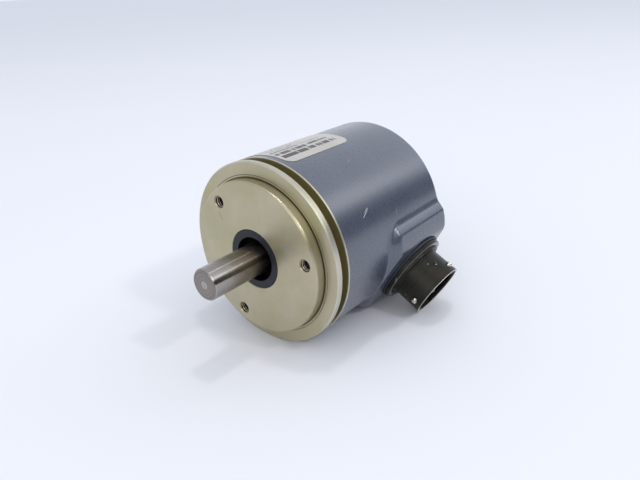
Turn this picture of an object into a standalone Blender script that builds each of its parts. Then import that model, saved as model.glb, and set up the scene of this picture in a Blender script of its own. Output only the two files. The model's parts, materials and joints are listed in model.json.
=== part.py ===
"""Rotary encoder with a 60 mm flange, a 10 mm solid shaft and a radial bayonet receptacle.

The encoder lies on its side, held level by its flange and by the rim of its receptacle. +Z is up, the
shaft points along -Y and the receptacle points to +X and down. The origin is on the floor, in the middle
of the footprint. Every size is in metres: a drawing size in millimetres times MM.

Local frames: "shaft_axis" has its origin where the shaft axis meets the boss face, with y running
rearwards. "connector_axis" has y running outwards along the receptacle and x towards the shaft end.
"""

import math

import bmesh
import bpy
from mathutils import Vector

MM = 0.001
TURN = 2 * math.pi
GAP = 0.1 * MM  # left between pieces that touch on the real encoder
TOUCH = 0.05 * MM  # the same, where a visible joint has to stay a thin line

# Flange, with depths from the boss face rearwards
BOSS_R = 25.0 * MM
BOSS_DEPTH = 3.6 * MM
RIM_R = 30.0 * MM
RIM_BACK = 5.5 * MM
CLAMP_GROOVE_R = 27.0 * MM
LIP_FRONT = 8.6 * MM
LIP_BACK = 9.2 * MM
SPIGOT_R = 27.6 * MM
SPIGOT_BACK = 17.0 * MM
TOWER_R = 15.0 * MM
TOWER_BACK = 30.5 * MM
EDGE = 0.5 * MM  # chamfers of the turned edges
MOUNT_HOLES = 3
MOUNT_CIRCLE_R = 21.0 * MM
MOUNT_ANGLE = math.radians(9.7)
MOUNT_CORE_R = 1.7 * MM  # M4 core
MOUNT_SINK_R = 2.3 * MM
MOUNT_DEPTH = 8.0 * MM

# Shaft
SHAFT_R = 5.0 * MM
SHAFT_LENGTH = 20.0 * MM
SHAFT_BACK = 37.0 * MM
SHOULDER_R = 6.2 * MM

# Shaft seal
SEAL_R = 9.7 * MM
SEAL_MOUTH_R = 7.2 * MM
SEAL_DEPTH = 4.0 * MM

# Ball bearings, 10 x 22 x 6
BEARING_R = 11.0 * MM
BEARING_WIDTH = 6.0 * MM
PITCH_R = 8.0 * MM
BALL_R = 1.45 * MM
BALLS = 7
FRONT_BEARING_Y = 4.9 * MM
REAR_BEARING_Y = 21.1 * MM

# Cover
COVER_R = 29.9 * MM
COVER_WALL = 2.0 * MM
COVER_BACK = 61.8 * MM
COVER_END_WALL = 2.5 * MM
COVER_BORE_R = COVER_R - COVER_WALL
COVER_ROUND = 1.0 * MM
END_WALL_Y = COVER_BACK - COVER_END_WALL

# Saddle on the cover: height from the shaft axis, and half widths across it
SADDLE_TOP = 30.2 * MM
SADDLE_FLAT = 10.7 * MM
SADDLE_FOOT = (22.4 * MM, 19.75 * MM)
SADDLE_SHOULDER = (27.5 * MM, 16.5 * MM)
SADDLE_FRONT = 30.0 * MM
SADDLE_SIDE = 20.4 * MM
SADDLE_CORNER = 6.0 * MM

# Receptacle, with heights from the shaft axis outwards
CONNECTOR_Y = 48.2 * MM
GASKET_R = 13.4 * MM
GASKET_THICK = 0.7 * MM
PLATE_R = 12.8 * MM
PLATE_TOP = 32.5 * MM
SHELL_R = 9.74 * MM
SHELL_BORE_R = 8.5 * MM
SHELL_BASE = 20.0 * MM
SHELL_RIM = 43.3 * MM
THREAD_R = 9.3 * MM
INSERT_FACE = 34.0 * MM
INSERT_BACK = 18.6 * MM
PIN_TIP = 38.5 * MM
PIN_R = 0.5 * MM
OUTER_PINS = 8
OUTER_PIN_CIRCLE_R = 5.2 * MM
INNER_PINS = 2
INNER_PIN_CIRCLE_R = 1.7 * MM
BAYONET_HEIGHT = 40.6 * MM
BAYONET_R = 1.0 * MM
BAYONET_REACH = 10.6 * MM
BAYONET_ANGLE = math.radians(-12)
BAYONETS = 3

# Code disc, electronics and the spacers that carry them
DISC_R = 19.5 * MM
DISC_FRONT = 35.5 * MM
DISC_THICK = 0.8 * MM
PILOT_R = 6.3 * MM
HUB_FRONT = 29.4 * MM
HUB_R = 7.2 * MM
HUB_FLANGE_R = 9.5 * MM
HUB_FLANGE_FRONT = 34.0 * MM
BOARD_FRONT = 39.5 * MM
BOARD_THICK = 1.6 * MM
BOARD_R = 26.8 * MM
BOARD_FLAT = 17.5 * MM  # from the shaft axis, on the receptacle's side
SPACER_CIRCLE_R = 24.0 * MM
SPACER_ANGLES = [math.radians(angle) for angle in (30, 150, 270)]
SPACER_R = 2.6 * MM
STUD_R = 1.4 * MM
STUD_LENGTH = 4.0 * MM
SPACER_BORE_R = 1.55 * MM
SPACER_BORE_DEPTH = 7.0 * MM
OPTICS_ANGLE = math.radians(90)

# Worked out from the sizes above: the rim of the receptacle and the flange touch the floor together
CONNECTOR_TILT = math.asin(RIM_R / math.hypot(SHELL_RIM, SHELL_R)) - math.atan2(SHELL_R, SHELL_RIM)
RIGHT_END = SHELL_RIM * math.cos(CONNECTOR_TILT) + SHELL_R * math.sin(CONNECTOR_TILT)
AXIS_X = (RIM_R - RIGHT_END) / 2
AXIS_Z = RIM_R
FACE_Y = (SHAFT_LENGTH - COVER_BACK) / 2

# Colour, roughness and metallic value of each finish
FINISHES = {
    "chromated_aluminium": ((0.46, 0.43, 0.31), 0.38, 1.0),
    "grey_paint": ((0.20, 0.22, 0.28), 0.40, 0.0),
    "stainless_steel": ((0.62, 0.60, 0.57), 0.22, 1.0),
    "bearing_steel": ((0.55, 0.55, 0.55), 0.15, 1.0),
    "zinc_plate": ((0.60, 0.61, 0.62), 0.35, 1.0),
    "spring_steel": ((0.10, 0.10, 0.11), 0.40, 1.0),
    "brass": ((0.62, 0.45, 0.20), 0.30, 1.0),
    "black_rubber": ((0.02, 0.022, 0.03), 0.50, 0.0),
    "label_film": ((0.75, 0.73, 0.66), 0.45, 0.0),
    "connector_nylon": ((0.72, 0.70, 0.62), 0.50, 0.0),
    "olive_shell": ((0.06, 0.06, 0.04), 0.42, 0.8),
    "dark_insert": ((0.03, 0.03, 0.03), 0.55, 0.0),
    "gold_contact": ((0.70, 0.52, 0.22), 0.25, 1.0),
    "disc_glass": ((0.60, 0.66, 0.70), 0.05, 0.0),
    "board": ((0.03, 0.16, 0.07), 0.45, 0.0),
    "black_plastic": ((0.03, 0.03, 0.03), 0.50, 0.0),
    "clear_lens": ((0.55, 0.60, 0.70), 0.10, 0.0),
    "capacitor_can": ((0.45, 0.46, 0.48), 0.30, 1.0),
    "wire_jacket": ((0.55, 0.55, 0.52), 0.55, 0.0),
}
MATERIALS = {}


def clear_scene():
    for thing in list(bpy.data.objects):
        bpy.data.objects.remove(thing)


def material(finish):
    """The Principled BSDF material of a finish, made once."""
    if finish not in MATERIALS:
        colour, roughness, metallic = FINISHES[finish]
        made = bpy.data.materials.new(finish)
        made.use_nodes = True
        shader = made.node_tree.nodes["Principled BSDF"]
        shader.inputs["Base Color"].default_value = (*colour, 1)
        shader.inputs["Roughness"].default_value = roughness
        shader.inputs["Metallic"].default_value = metallic
        MATERIALS[finish] = made
    return MATERIALS[finish]


def empty(name, parent=None, location=(0, 0, 0)):
    made = bpy.data.objects.new(name, None)
    bpy.context.collection.objects.link(made)
    made.parent = parent
    made.location = location
    made.empty_display_size = 5 * MM
    return made


def place(thing, finish, parent, location=(0, 0, 0), angle=0.0):
    """Parents a piece, turned by an angle about the parent's y axis from +x towards +z."""
    thing.parent = parent
    thing.location = location
    thing.rotation_euler = (0, -angle, 0)
    thing.data.materials.append(material(finish))
    if thing.type == "MESH":
        thing.data.shade_smooth()
        thing.data.set_sharp_from_angle(angle=math.radians(30))
    return thing


def mesh_object(name, bm):
    bmesh.ops.recalc_face_normals(bm, faces=bm.faces)
    mesh = bpy.data.meshes.new(name)
    bm.to_mesh(mesh)
    bm.free()
    made = bpy.data.objects.new(name, mesh)
    bpy.context.collection.objects.link(made)
    return made


def turned(name, outline, steps):
    """A solid turned about its y axis from a closed outline of (radius, y) points."""
    bm = bmesh.new()
    points = [bm.verts.new((radius, y, 0)) for radius, y in outline]
    edges = []
    for a, b in zip(points, points[1:] + points[:1]):
        if a.co.x > 0 or b.co.x > 0:
            edges.append(bm.edges.new((a, b)))
    bmesh.ops.spin(bm, geom=points + edges, axis=(0, 1, 0), angle=TURN, steps=steps, use_merge=True)
    bmesh.ops.remove_doubles(bm, verts=bm.verts, dist=0.0001 * MM)
    return mesh_object(name, bm)


def prism(name, outline, front, back):
    """A solid with a closed (x, z) outline, from y = front to y = back."""
    bm = bmesh.new()
    face = bm.faces.new([bm.verts.new((x, front, z)) for x, z in outline])
    grown = bmesh.ops.extrude_face_region(bm, geom=[face])
    top = [v for v in grown["geom"] if isinstance(v, bmesh.types.BMVert)]
    bmesh.ops.translate(bm, verts=top, vec=(0, back - front, 0))
    return mesh_object(name, bm)


def boolean(target, other, operation):
    """Cuts or joins a helper; the helper stays in the file as a wire and isn't a piece."""
    other.hide_render = True
    other.display_type = "WIRE"
    step = target.modifiers.new(other.name, "BOOLEAN")
    step.operation = operation
    step.object = other


def cut(target, cutter, location=(0, 0, 0), angle=0.0):
    """Cuts a helper, placed in the frame of the target's parent, from the target."""
    cutter.parent = target.parent
    cutter.location = location
    cutter.rotation_euler = (0, -angle, 0)
    boolean(target, cutter, "DIFFERENCE")


def arc(centre, radius, start, end, steps):
    """Points on an arc, both ends included; angles in degrees."""
    angles = [math.radians(start + (end - start) * i / steps) for i in range(steps + 1)]
    return [(centre[0] + radius * math.cos(a), centre[1] + radius * math.sin(a)) for a in angles]


def circle(radius, steps):
    return arc((0, 0), radius, 0, 360 * (steps - 1) / steps, steps - 1)


def rectangle(width, height, x=0.0, z=0.0):
    return [
        (x - width / 2, z - height / 2),
        (x + width / 2, z - height / 2),
        (x + width / 2, z + height / 2),
        (x - width / 2, z + height / 2),
    ]


def polar(radius, angle, y=0.0):
    return (radius * math.cos(angle), y, radius * math.sin(angle))


def evenly(count, first=0.0):
    return [first + TURN * i / count for i in range(count)]


def flange_outline():
    bore = BEARING_R
    seat_front = FRONT_BEARING_Y - GAP
    return [
        (SEAL_R + GAP, 0),
        (BOSS_R - EDGE, 0),
        (BOSS_R, EDGE),
        (BOSS_R, BOSS_DEPTH),
        (RIM_R - EDGE, BOSS_DEPTH),
        (RIM_R, BOSS_DEPTH + EDGE),
        (RIM_R, RIM_BACK),
        (CLAMP_GROOVE_R, RIM_BACK),
        (CLAMP_GROOVE_R, LIP_FRONT),
        (RIM_R, LIP_FRONT),
        (RIM_R, LIP_BACK),
        (SPIGOT_R, LIP_BACK),
        (SPIGOT_R, 12.0 * MM),
        (25.9 * MM, 12.0 * MM),
        (25.9 * MM, 14.4 * MM),
        (SPIGOT_R, 14.4 * MM),
        (SPIGOT_R, SPIGOT_BACK),
        (TOWER_R, SPIGOT_BACK),
        (TOWER_R, TOWER_BACK),
        (bore, TOWER_BACK),
        (bore, 29.2 * MM),
        (bore + 0.8 * MM, 29.2 * MM),
        (bore + 0.8 * MM, 28.0 * MM),
        (bore, 28.0 * MM),
        (bore, seat_front),
        (8.6 * MM, seat_front),
        (8.6 * MM, SEAL_DEPTH + GAP),
        (SEAL_R + GAP, SEAL_DEPTH + GAP),
    ]


def make_flange(housing):
    flange = place(turned("flange", flange_outline(), 56), "chromated_aluminium", housing)
    sink = MOUNT_SINK_R - MOUNT_CORE_R
    hole = [
        (0, -MM),
        (MOUNT_SINK_R + MM, -MM),
        (MOUNT_CORE_R, sink),
        (MOUNT_CORE_R, MOUNT_DEPTH),
        (0, MOUNT_DEPTH + MOUNT_CORE_R / 2),
    ]
    for i, angle in enumerate(evenly(MOUNT_HOLES, MOUNT_ANGLE)):
        cut(flange, turned(f"mount_hole_{i + 1}", hole, 16), polar(MOUNT_CIRCLE_R, angle))
    for i, angle in enumerate(SPACER_ANGLES):
        stud_hole = prism(f"stud_hole_{i + 1}", circle(SPACER_BORE_R, 12), 12.2 * MM, 18 * MM)
        cut(flange, stud_hole, polar(SPACER_CIRCLE_R, angle))


def make_seal(housing):
    outline = [
        (SEAL_MOUTH_R, TOUCH),
        (SEAL_R, TOUCH),
        (SEAL_R, SEAL_DEPTH),
        (SHAFT_R + GAP, SEAL_DEPTH),
        (SHAFT_R + GAP, SEAL_DEPTH - 0.8 * MM),
        (SEAL_MOUTH_R, 1.8 * MM),
    ]
    place(turned("shaft_seal", outline, 32), "black_rubber", housing)


def make_cover_o_ring(housing):
    outline = arc((26.9 * MM, 13.2 * MM), 0.9 * MM, 30, 330, 5)
    place(turned("cover_o_ring", outline, 40), "black_rubber", housing)


def ring(name, inner, outer, front, back, steps):
    return turned(name, [(inner, front), (outer, front), (outer, back), (inner, back)], steps)


def make_shaft(rotor):
    groove_front = REAR_BEARING_Y + BEARING_WIDTH + GAP
    outline = [
        (0, -SHAFT_LENGTH),
        (SHAFT_R - EDGE, -SHAFT_LENGTH),
        (SHAFT_R, EDGE - SHAFT_LENGTH),
        (SHAFT_R, FRONT_BEARING_Y + BEARING_WIDTH + GAP),
        (SHOULDER_R, FRONT_BEARING_Y + BEARING_WIDTH + GAP),
        (SHOULDER_R, REAR_BEARING_Y - GAP),
        (SHAFT_R, REAR_BEARING_Y - GAP),
        (SHAFT_R, groove_front),
        (SHAFT_R - 0.4 * MM, groove_front),
        (SHAFT_R - 0.4 * MM, groove_front + MM),
        (SHAFT_R, groove_front + MM),
        (SHAFT_R, SHAFT_BACK),
        (0, SHAFT_BACK),
    ]
    place(turned("shaft", outline, 32), "stainless_steel", rotor)


def make_shaft_circlip(rotor):
    front = REAR_BEARING_Y + BEARING_WIDTH + 2 * GAP
    inner = SHAFT_R - 0.3 * MM
    clip = ring("shaft_circlip", inner, 6.4 * MM, front, front + 0.8 * MM, 24)
    place(clip, "spring_steel", rotor)
    mouth = prism("shaft_circlip_mouth", rectangle(4 * MM, 4 * MM, -6 * MM), 0, 40 * MM)
    cut(clip, mouth)


def make_bearing(name, front, housing, rotor, cage_body):
    """Outer ring, inner ring, and the cage with its balls, all about the shaft axis."""
    middle = BEARING_WIDTH / 2
    lip = 1.6 * MM  # half width of each raceway
    depth = 0.4 * MM
    outer_race = PITCH_R + BALL_R + GAP
    inner_race = PITCH_R - BALL_R - GAP
    outer = [
        (BEARING_R - GAP, 0),
        (BEARING_R - GAP, BEARING_WIDTH),
        (outer_race - depth, BEARING_WIDTH),
        (outer_race - depth, middle + lip),
        (outer_race, middle + lip / 2),
        (outer_race, middle - lip / 2),
        (outer_race - depth, middle - lip),
        (outer_race - depth, 0),
    ]
    inner = [
        (SHAFT_R + TOUCH, 0),
        (inner_race + depth, 0),
        (inner_race + depth, middle - lip),
        (inner_race, middle - lip / 2),
        (inner_race, middle + lip / 2),
        (inner_race + depth, middle + lip),
        (inner_race + depth, BEARING_WIDTH),
        (SHAFT_R + TOUCH, BEARING_WIDTH),
    ]
    at = (0, front, 0)
    place(turned(f"{name}_outer_ring", outer, 24), "bearing_steel", housing, at)
    place(turned(f"{name}_inner_ring", inner, 24), "bearing_steel", rotor, at)
    cage = ring(f"{name}_ball_cage", PITCH_R - 0.7 * MM, PITCH_R + 0.7 * MM, -0.5 * MM, 0.5 * MM, 28)
    place(cage, "bearing_steel", cage_body)
    for i, angle in enumerate(evenly(BALLS)):
        bm = bmesh.new()
        bmesh.ops.create_icosphere(bm, subdivisions=2, radius=BALL_R)
        ball = mesh_object(f"{name}_ball_{i + 1}", bm)
        ball.parent = cage_body
        ball.location = polar(PITCH_R, angle)
        boolean(cage, ball, "UNION")


def make_bearing_fixings(housing):
    front = FRONT_BEARING_Y + BEARING_WIDTH + GAP
    spacer = ring("bearing_spacer", 9.2 * MM, BEARING_R - GAP, front, REAR_BEARING_Y - GAP, 24)
    place(spacer, "zinc_plate", housing)
    seat = REAR_BEARING_Y + BEARING_WIDTH + GAP
    washer = ring("wave_washer", 9.4 * MM, BEARING_R - 2 * GAP, seat, seat + 0.7 * MM, 24)
    place(washer, "spring_steel", housing)
    clip = ring("housing_circlip", 9.0 * MM, BEARING_R + 0.6 * MM, 28.1 * MM, 29.1 * MM, 24)
    place(clip, "spring_steel", housing)
    cut(clip, prism("housing_circlip_mouth", rectangle(4 * MM, 5 * MM, 0, -10 * MM), 0, 40 * MM))


def make_disc(rotor):
    """The hub with its grub screw, the glass code disc and the ring that clamps it."""
    pilot_back = DISC_FRONT + DISC_THICK + MM
    outline = [
        (SHAFT_R + TOUCH, HUB_FRONT),
        (HUB_R, HUB_FRONT),
        (HUB_R, HUB_FLANGE_FRONT),
        (HUB_FLANGE_R, HUB_FLANGE_FRONT),
        (HUB_FLANGE_R, DISC_FRONT - GAP),
        (PILOT_R, DISC_FRONT - GAP),
        (PILOT_R, pilot_back),
        (SHAFT_R + TOUCH, pilot_back),
    ]
    hub = place(turned("disc_hub", outline, 24), "brass", rotor)
    screw_y = (HUB_FRONT + HUB_FLANGE_FRONT) / 2
    hole = prism("hub_screw_hole", circle(1.5 * MM, 12), 2 * MM, 9 * MM)
    cut(hub, hole, (0, screw_y, 0))
    hole.rotation_euler = (math.radians(90), 0, 0)
    screw = prism("hub_set_screw", circle(1.35 * MM, 12), SHAFT_R + GAP, HUB_R - GAP)
    place(screw, "zinc_plate", rotor, (0, screw_y, 0))
    screw.rotation_euler = (math.radians(90), 0, 0)
    disc_back = DISC_FRONT + DISC_THICK
    disc = ring("code_disc", PILOT_R + GAP, DISC_R, DISC_FRONT, disc_back, 48)
    place(disc, "disc_glass", rotor)
    clamp = ring("disc_clamp_ring", PILOT_R + GAP, HUB_FLANGE_R, disc_back + GAP, pilot_back, 24)
    place(clamp, "brass", rotor)


def make_optics(housing):
    """Lamp in front of the disc, mask and light sensor behind it."""
    holder = prism("led_holder", rectangle(6 * MM, 7.2 * MM, 18.6 * MM), SPIGOT_BACK + GAP, 33.6 * MM)
    place(holder, "black_plastic", housing, angle=OPTICS_ANGLE)
    lens = [(0, 35.1 * MM), (0.9 * MM, 34.9 * MM), (1.5 * MM, 34.2 * MM), (1.5 * MM, 33.7 * MM)]
    led = turned("led", lens + [(0, 33.7 * MM)], 16)
    place(led, "clear_lens", housing, polar(17.2 * MM, OPTICS_ANGLE))
    behind = DISC_FRONT + DISC_THICK
    mask = prism("reticle", rectangle(5.2 * MM, 6 * MM, 17.2 * MM), behind + 0.4 * MM, behind + MM)
    place(mask, "disc_glass", housing, angle=OPTICS_ANGLE)
    chip = rectangle(6.4 * MM, 8 * MM, 17.2 * MM)
    sensor = prism("light_sensor", chip, behind + 1.2 * MM, BOARD_FRONT - GAP)
    place(sensor, "black_plastic", housing, angle=OPTICS_ANGLE)


def board_outline():
    """A round board with a flat towards the receptacle, drawn with the flat at +x."""
    half = math.degrees(math.acos(BOARD_FLAT / BOARD_R))
    return arc((0, 0), BOARD_R, half, 360 - half, 40)


def make_electronics(housing):
    board_back = BOARD_FRONT + BOARD_THICK
    board = prism("main_board", board_outline(), BOARD_FRONT, board_back)
    place(board, "board", housing, angle=-CONNECTOR_TILT)
    for i, angle in enumerate(SPACER_ANGLES):
        hole = prism(f"board_hole_{i + 1}", circle(1.6 * MM, 12), BOARD_FRONT - MM, board_back + MM)
        cut(board, hole, polar(SPACER_CIRCLE_R, angle))
    top = board_back + GAP
    chip = prism("driver_chip", rectangle(9 * MM, 6 * MM, 0, -13 * MM), top, top + 1.6 * MM)
    place(chip, "black_plastic", housing)
    for i, angle in enumerate((100, 200)):
        can = ring(f"capacitor_{i + 1}", 0, 3.2 * MM, top, top + 7 * MM, 16)
        place(can, "capacitor_can", housing, polar(15.5 * MM, math.radians(angle)))
    header = prism("board_header", rectangle(4 * MM, 10 * MM, -10 * MM), top, top + 3 * MM)
    place(header, "connector_nylon", housing, angle=-CONNECTOR_TILT)
    plug_front = top + 3 * MM + GAP
    plug = prism("header_plug", rectangle(4 * MM, 9 * MM, -10 * MM), plug_front, plug_front + 3 * MM)
    place(plug, "connector_nylon", housing, angle=-CONNECTOR_TILT)


def hex_spacer(name, front, back, angle, housing):
    """A hexagonal spacer with a stud at its front end and a tapped bore at its back end."""
    spacer = prism(name, circle(SPACER_R, 6), front, back)
    place(spacer, "zinc_plate", housing, polar(SPACER_CIRCLE_R, angle))
    stud = prism(f"{name}_stud", circle(STUD_R, 12), front - STUD_LENGTH, front + MM)
    stud.parent = housing
    stud.location = spacer.location
    boolean(spacer, stud, "UNION")
    bore = prism(f"{name}_bore", circle(SPACER_BORE_R, 12), back - SPACER_BORE_DEPTH, back + MM)
    cut(spacer, bore, spacer.location)


def make_spacers(housing):
    for i, angle in enumerate(SPACER_ANGLES):
        hex_spacer(f"board_spacer_{i + 1}", SPIGOT_BACK + GAP, BOARD_FRONT - GAP, angle, housing)
        rear = BOARD_FRONT + BOARD_THICK + GAP
        hex_spacer(f"cover_spacer_{i + 1}", rear, END_WALL_Y - GAP, angle, housing)


def saddle_outline():
    """Half profile of the saddle as (height, across), from its foot in the wall to its flat top."""
    rise = (SADDLE_SHOULDER[0] - SADDLE_FOOT[0], SADDLE_SHOULDER[1] - SADDLE_FOOT[1])
    slope = math.degrees(math.atan2(rise[1], rise[0]))
    radius = (SADDLE_TOP - SADDLE_SHOULDER[0]) / (1 - math.cos(math.radians(90 + slope)))
    centre = (SADDLE_TOP - radius, SADDLE_FLAT)
    shoulder = arc(centre, radius, 90 + slope, 0, 5)
    return [SADDLE_FOOT] + shoulder


def make_saddle(connector):
    """The cover's pad for the receptacle: a profile along the cover, cut to a plan with round corners."""
    half = saddle_outline()
    inside = (SADDLE_FOOT[0] - 1.2 * MM, SADDLE_FOOT[1] - MM)
    outline = [inside] + half
    outline += [(height, -across) for height, across in reversed(outline)]
    bm = bmesh.new()
    front = CONNECTOR_Y - SADDLE_FRONT
    face = bm.faces.new([bm.verts.new((front, height, across)) for height, across in outline])
    grown = bmesh.ops.extrude_face_region(bm, geom=[face])
    moved = [v for v in grown["geom"] if isinstance(v, bmesh.types.BMVert)]
    bmesh.ops.translate(bm, verts=moved, vec=(CONNECTOR_Y - COVER_BACK + COVER_ROUND - front, 0, 0))
    saddle = mesh_object("saddle", bm)
    saddle.parent = connector
    corner = (front - SADDLE_CORNER, SADDLE_SIDE - SADDLE_CORNER)
    plan = [(front - 40 * MM, -SADDLE_SIDE), (front - 40 * MM, SADDLE_SIDE)]
    plan += arc(corner, SADDLE_CORNER, 90, 0, 5)
    plan += arc((corner[0], -corner[1]), SADDLE_CORNER, 0, -90, 5)
    trim = prism("saddle_plan", plan, 15 * MM, 40 * MM)
    trim.parent = connector
    boolean(saddle, trim, "INTERSECT")
    return saddle


def make_cover(housing, connector):
    front = LIP_BACK + TOUCH
    round_centre = (COVER_R - COVER_ROUND, COVER_BACK - COVER_ROUND)
    outline = [(0, front), (COVER_R, front)]
    outline += arc(round_centre, COVER_ROUND, 0, 90, 3)
    outline += [(0, COVER_BACK)]
    cover = place(turned("cover", outline, 64), "grey_paint", housing)
    boolean(cover, make_saddle(connector), "UNION")
    cut(cover, prism("cover_cavity", circle(COVER_BORE_R, 64), front - MM, END_WALL_Y))
    port = prism("connector_port", circle(THREAD_R + 2 * GAP, 32), 15 * MM, 35 * MM)
    port.parent = connector
    boolean(cover, port, "DIFFERENCE")
    hole = [(0, END_WALL_Y - MM), (1.7 * MM, END_WALL_Y - MM), (1.7 * MM, COVER_BACK - 1.4 * MM)]
    hole += [(4.1 * MM, COVER_BACK + MM), (0, COVER_BACK + MM)]
    for i, angle in enumerate(SPACER_ANGLES):
        cut(cover, turned(f"cover_hole_{i + 1}", hole, 16), polar(SPACER_CIRCLE_R, angle))


def make_cover_screws(housing):
    """Countersunk M3 screws with a hexagon socket, from the back into the spacers."""
    head = COVER_BACK - TOUCH
    outline = [
        (0, head - 8 * MM),
        (STUD_R, head - 8 * MM),
        (STUD_R, head - 1.5 * MM),
        (2.8 * MM, head - 0.1 * MM),
        (2.8 * MM, head),
        (0, head),
    ]
    for i, angle in enumerate(SPACER_ANGLES):
        screw = turned(f"cover_screw_{i + 1}", outline, 16)
        place(screw, "zinc_plate", housing, polar(SPACER_CIRCLE_R, angle))
        socket = prism(f"cover_screw_{i + 1}_socket", circle(1.15 * MM, 6), head - 1.2 * MM, head + MM)
        cut(screw, socket, screw.location)


def make_label(housing):
    """A thin label wrapped round the top of the cover."""
    front, back = 11.2 * MM, 40.5 * MM
    start, end = 75, 127
    inner = arc((0, 0), COVER_R + TOUCH, start, end, 12)
    outer = arc((0, 0), COVER_R + TOUCH + 0.1 * MM, end, start, 12)
    place(prism("label", inner + outer, front, back), "label_film", housing)


def shell_outline():
    plate_front = SADDLE_TOP + GASKET_THICK + 2 * TOUCH
    return [
        (SHELL_BORE_R, SHELL_BASE),
        (THREAD_R, SHELL_BASE),
        (THREAD_R, plate_front),
        (PLATE_R, plate_front),
        (PLATE_R, PLATE_TOP - EDGE),
        (PLATE_R - EDGE, PLATE_TOP),
        (SHELL_R, PLATE_TOP),
        (SHELL_R, SHELL_RIM),
        (SHELL_R - 0.7 * MM, SHELL_RIM),
        (SHELL_BORE_R, SHELL_RIM - EDGE),
    ]


def make_connector_shell(connector):
    shell = place(turned("connector_shell", shell_outline(), 40), "olive_shell", connector)
    base = SADDLE_TOP + TOUCH
    gasket = ring("connector_gasket", THREAD_R + GAP, GASKET_R, base, base + GASKET_THICK, 40)
    place(gasket, "black_rubber", connector)
    for i, angle in enumerate(evenly(BAYONETS, BAYONET_ANGLE)):
        hole = prism(f"bayonet_hole_{i + 1}", circle(BAYONET_R + GAP, 12), 8 * MM, 11 * MM)
        stud = prism(f"bayonet_pin_{i + 1}", circle(BAYONET_R, 12), SHELL_BORE_R + GAP, BAYONET_REACH)
        place(stud, "zinc_plate", connector, (0, BAYONET_HEIGHT, 0))
        # The stud's own y axis is turned to point straight out of the shell at its angle
        hole.rotation_mode = stud.rotation_mode = "ZYX"
        cut(shell, hole, (0, BAYONET_HEIGHT, 0))
        hole.rotation_euler = stud.rotation_euler = (0, -angle, math.radians(-90))


def make_connector_nut(connector):
    inner, outer = THREAD_R + GAP, 10.9 * MM
    nut = place(ring("connector_nut", inner, outer, 22.6 * MM, 25.3 * MM, 32), "zinc_plate", connector)
    for i, angle in enumerate(evenly(4, math.radians(45))):
        slot = prism(f"nut_slot_{i + 1}", rectangle(2 * MM, 2 * MM, 11.2 * MM), 21 * MM, 24 * MM)
        cut(nut, slot, angle=angle)


def make_contacts(connector):
    """The insert and its contact pins, eight round two."""
    insert = ring("connector_insert", 0, SHELL_BORE_R - GAP, INSERT_BACK, INSERT_FACE, 32)
    place(insert, "dark_insert", connector)
    places = [polar(OUTER_PIN_CIRCLE_R, angle) for angle in evenly(OUTER_PINS, TURN / OUTER_PINS / 2)]
    places += [polar(INNER_PIN_CIRCLE_R, angle) for angle in evenly(INNER_PINS)]
    tip = PIN_R / 2
    outline = [
        (0, INSERT_BACK + GAP),
        (PIN_R, INSERT_BACK + GAP),
        (PIN_R, PIN_TIP - tip),
        (tip, PIN_TIP),
        (0, PIN_TIP),
    ]
    for i, spot in enumerate(places):
        place(turned(f"contact_pin_{i + 1}", outline, 8), "gold_contact", connector, spot)
        way = prism(f"pin_hole_{i + 1}", circle(PIN_R + GAP, 8), INSERT_BACK - MM, INSERT_FACE + MM)
        cut(insert, way, spot)


def make_wire_bundle(connector):
    """The wires from the plug on the board, over the shaft's end, to the back of the insert."""
    start = Vector((CONNECTOR_Y - 47.7 * MM, -10 * MM, 0))
    end = Vector((0, INSERT_BACK - 0.3 * MM, 0))
    leave = start - Vector((9 * MM, 0, 0))
    arrive = end - Vector((0, 11 * MM, 0))
    count = 14
    data = bpy.data.curves.new("wire_bundle", "CURVE")
    data.dimensions = "3D"
    data.bevel_depth = 2.0 * MM
    data.bevel_resolution = 2
    data.use_fill_caps = True
    route = data.splines.new("POLY")
    route.points.add(count)
    for i, point in enumerate(route.points):
        t = i / count
        s = 1 - t
        on_curve = start * s**3 + leave * (3 * s * s * t) + arrive * (3 * s * t * t) + end * t**3
        point.co = (*on_curve, 1)
    wires = bpy.data.objects.new("wire_bundle", data)
    bpy.context.collection.objects.link(wires)
    place(wires, "wire_jacket", connector)


def main():
    clear_scene()
    housing = empty("shaft_axis", location=(AXIS_X, FACE_Y, AXIS_Z))
    connector = empty("connector_axis", housing, (0, CONNECTOR_Y, 0))
    connector.rotation_mode = "ZYX"
    connector.rotation_euler = (0, CONNECTOR_TILT, math.radians(-90))
    rotor = empty("shaft_spin", housing)
    middle = BEARING_WIDTH / 2
    front_cage = empty("front_cage_spin", housing, (0, FRONT_BEARING_Y + middle, 0))
    rear_cage = empty("rear_cage_spin", housing, (0, REAR_BEARING_Y + middle, 0))

    make_flange(housing)
    make_seal(housing)
    make_cover_o_ring(housing)
    make_shaft(rotor)
    make_bearing("front_bearing", FRONT_BEARING_Y, housing, rotor, front_cage)
    make_bearing("rear_bearing", REAR_BEARING_Y, housing, rotor, rear_cage)
    make_bearing_fixings(housing)
    make_shaft_circlip(rotor)
    make_disc(rotor)
    make_optics(housing)
    make_electronics(housing)
    make_spacers(housing)
    make_cover(housing, connector)
    make_cover_screws(housing)
    make_label(housing)
    make_connector_shell(connector)
    make_connector_nut(connector)
    make_contacts(connector)
    make_wire_bundle(connector)


main()
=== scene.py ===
"""Looks of the rotary encoder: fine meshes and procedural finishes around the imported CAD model.

Everything is in metres in the CAD model's row frame: +Z up, the shaft along -Y, the receptacle to +X and
down. Turned pieces are drawn as (radius, depth) outlines in one of two local frames: SHAFT, whose y runs
rearwards from the boss face, and PORT, whose y runs outwards along the receptacle.
"""

import json
import math

import bmesh
import bpy
import numpy as np
from mathutils import Matrix, Vector


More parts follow.
